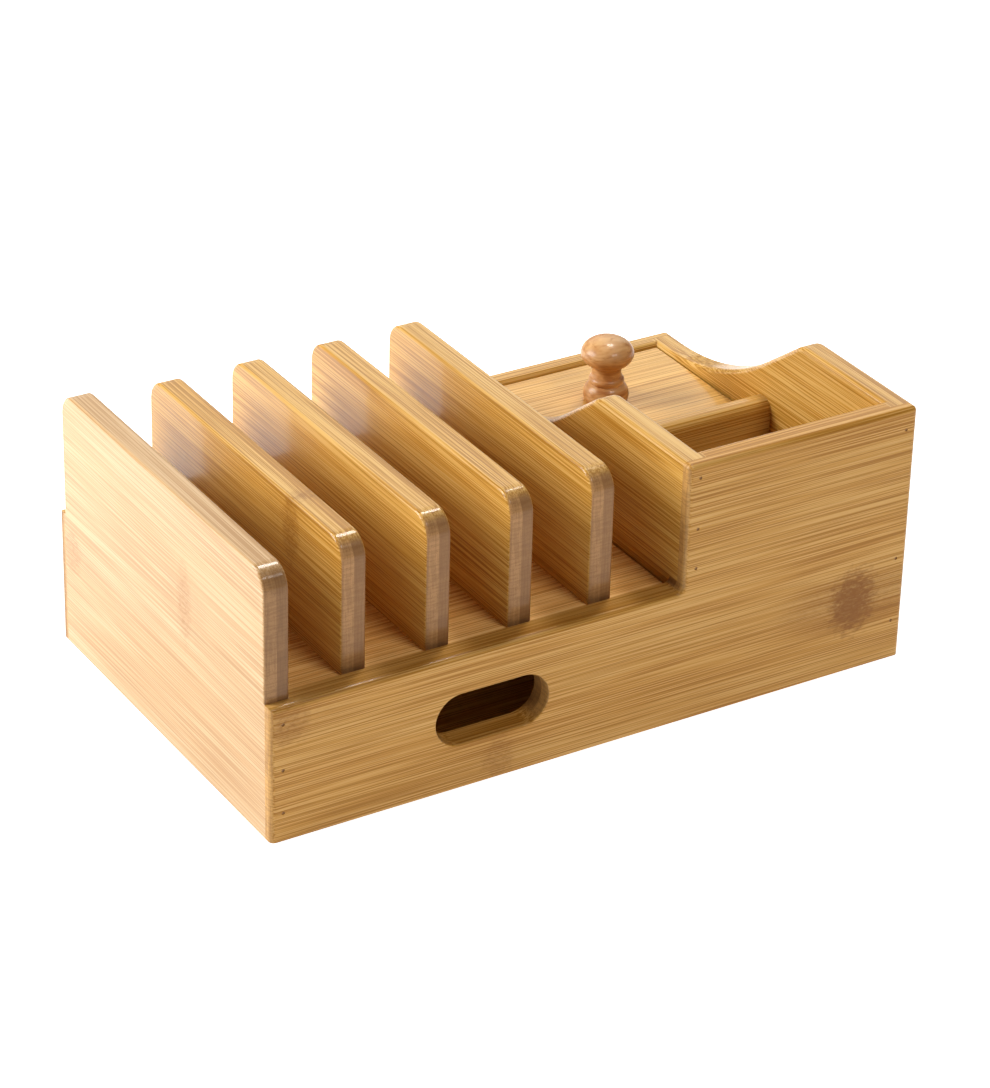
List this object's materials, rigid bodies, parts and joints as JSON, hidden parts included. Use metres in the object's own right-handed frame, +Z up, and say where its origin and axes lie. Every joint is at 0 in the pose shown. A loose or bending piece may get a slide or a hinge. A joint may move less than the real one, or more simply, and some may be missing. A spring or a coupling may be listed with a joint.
{
  "type": "desk organizer",
  "caption": "Low bamboo desk organizer with a lift-out divider tray over a cable bay, and a tall box at one end with an open pen compartment and a lidded one.",
  "frame": {"origin": "centre of the underside", "axes": "+X along the long front from the divider tray towards the tall box, +Y from the front panel with the cable outlet to the back, +Z up"},
  "size_m": [0.33, 0.2026, 0.129],
  "materials": {
    "bamboo_panel": "semi-gloss lacquered bamboo, grain along the board",
    "bamboo_side": "semi-gloss lacquered bamboo, grain front to back",
    "bamboo_divider": "semi-gloss lacquered two-ply bamboo, grain front to back",
    "bamboo_cleat": "sawn bamboo strip",
    "turned_hardwood": "gloss lacquered turned hardwood",
    "steel_screw": "zinc plated",
    "steel_nail": "set below the surface, darkened"
  },
  "bodies": {
    "case": {"front_panel": "bamboo_panel", "back_panel": "bamboo_panel", "left_end_panel": "bamboo_side", "mid_wall": "bamboo_side", "right_wall": "bamboo_side", "base_board": "bamboo_panel", "partition": "bamboo_panel", "deck_cleat_front": "bamboo_cleat", "deck_cleat_back": "bamboo_cleat", "lid_cleat_left": "bamboo_cleat", "lid_cleat_right": "bamboo_cleat", "front_nails": "steel_nail", "back_nails": "steel_nail", "cleat_screws": "steel_screw"},
    "tray": {"deck": "bamboo_panel", "divider_1": "bamboo_divider", "divider_2": "bamboo_divider", "divider_3": "bamboo_divider", "divider_4": "bamboo_divider", "divider_screws": "steel_screw"},
    "lid_assembly": {"lid": "bamboo_panel", "lid_knob": "turned_hardwood", "knob_screw": "steel_screw"}
  },
  "joints": [
    {"name": "tray_lift", "type": "slide", "parent": "case", "child": "tray", "axis": [0, 0, 1], "range_m": [0, 0.08]},
    {"name": "lid_lift", "type": "slide", "parent": "case", "child": "lid_assembly", "axis": [0, 0, 1], "range_m": [0, 0.045]}
  ]
}
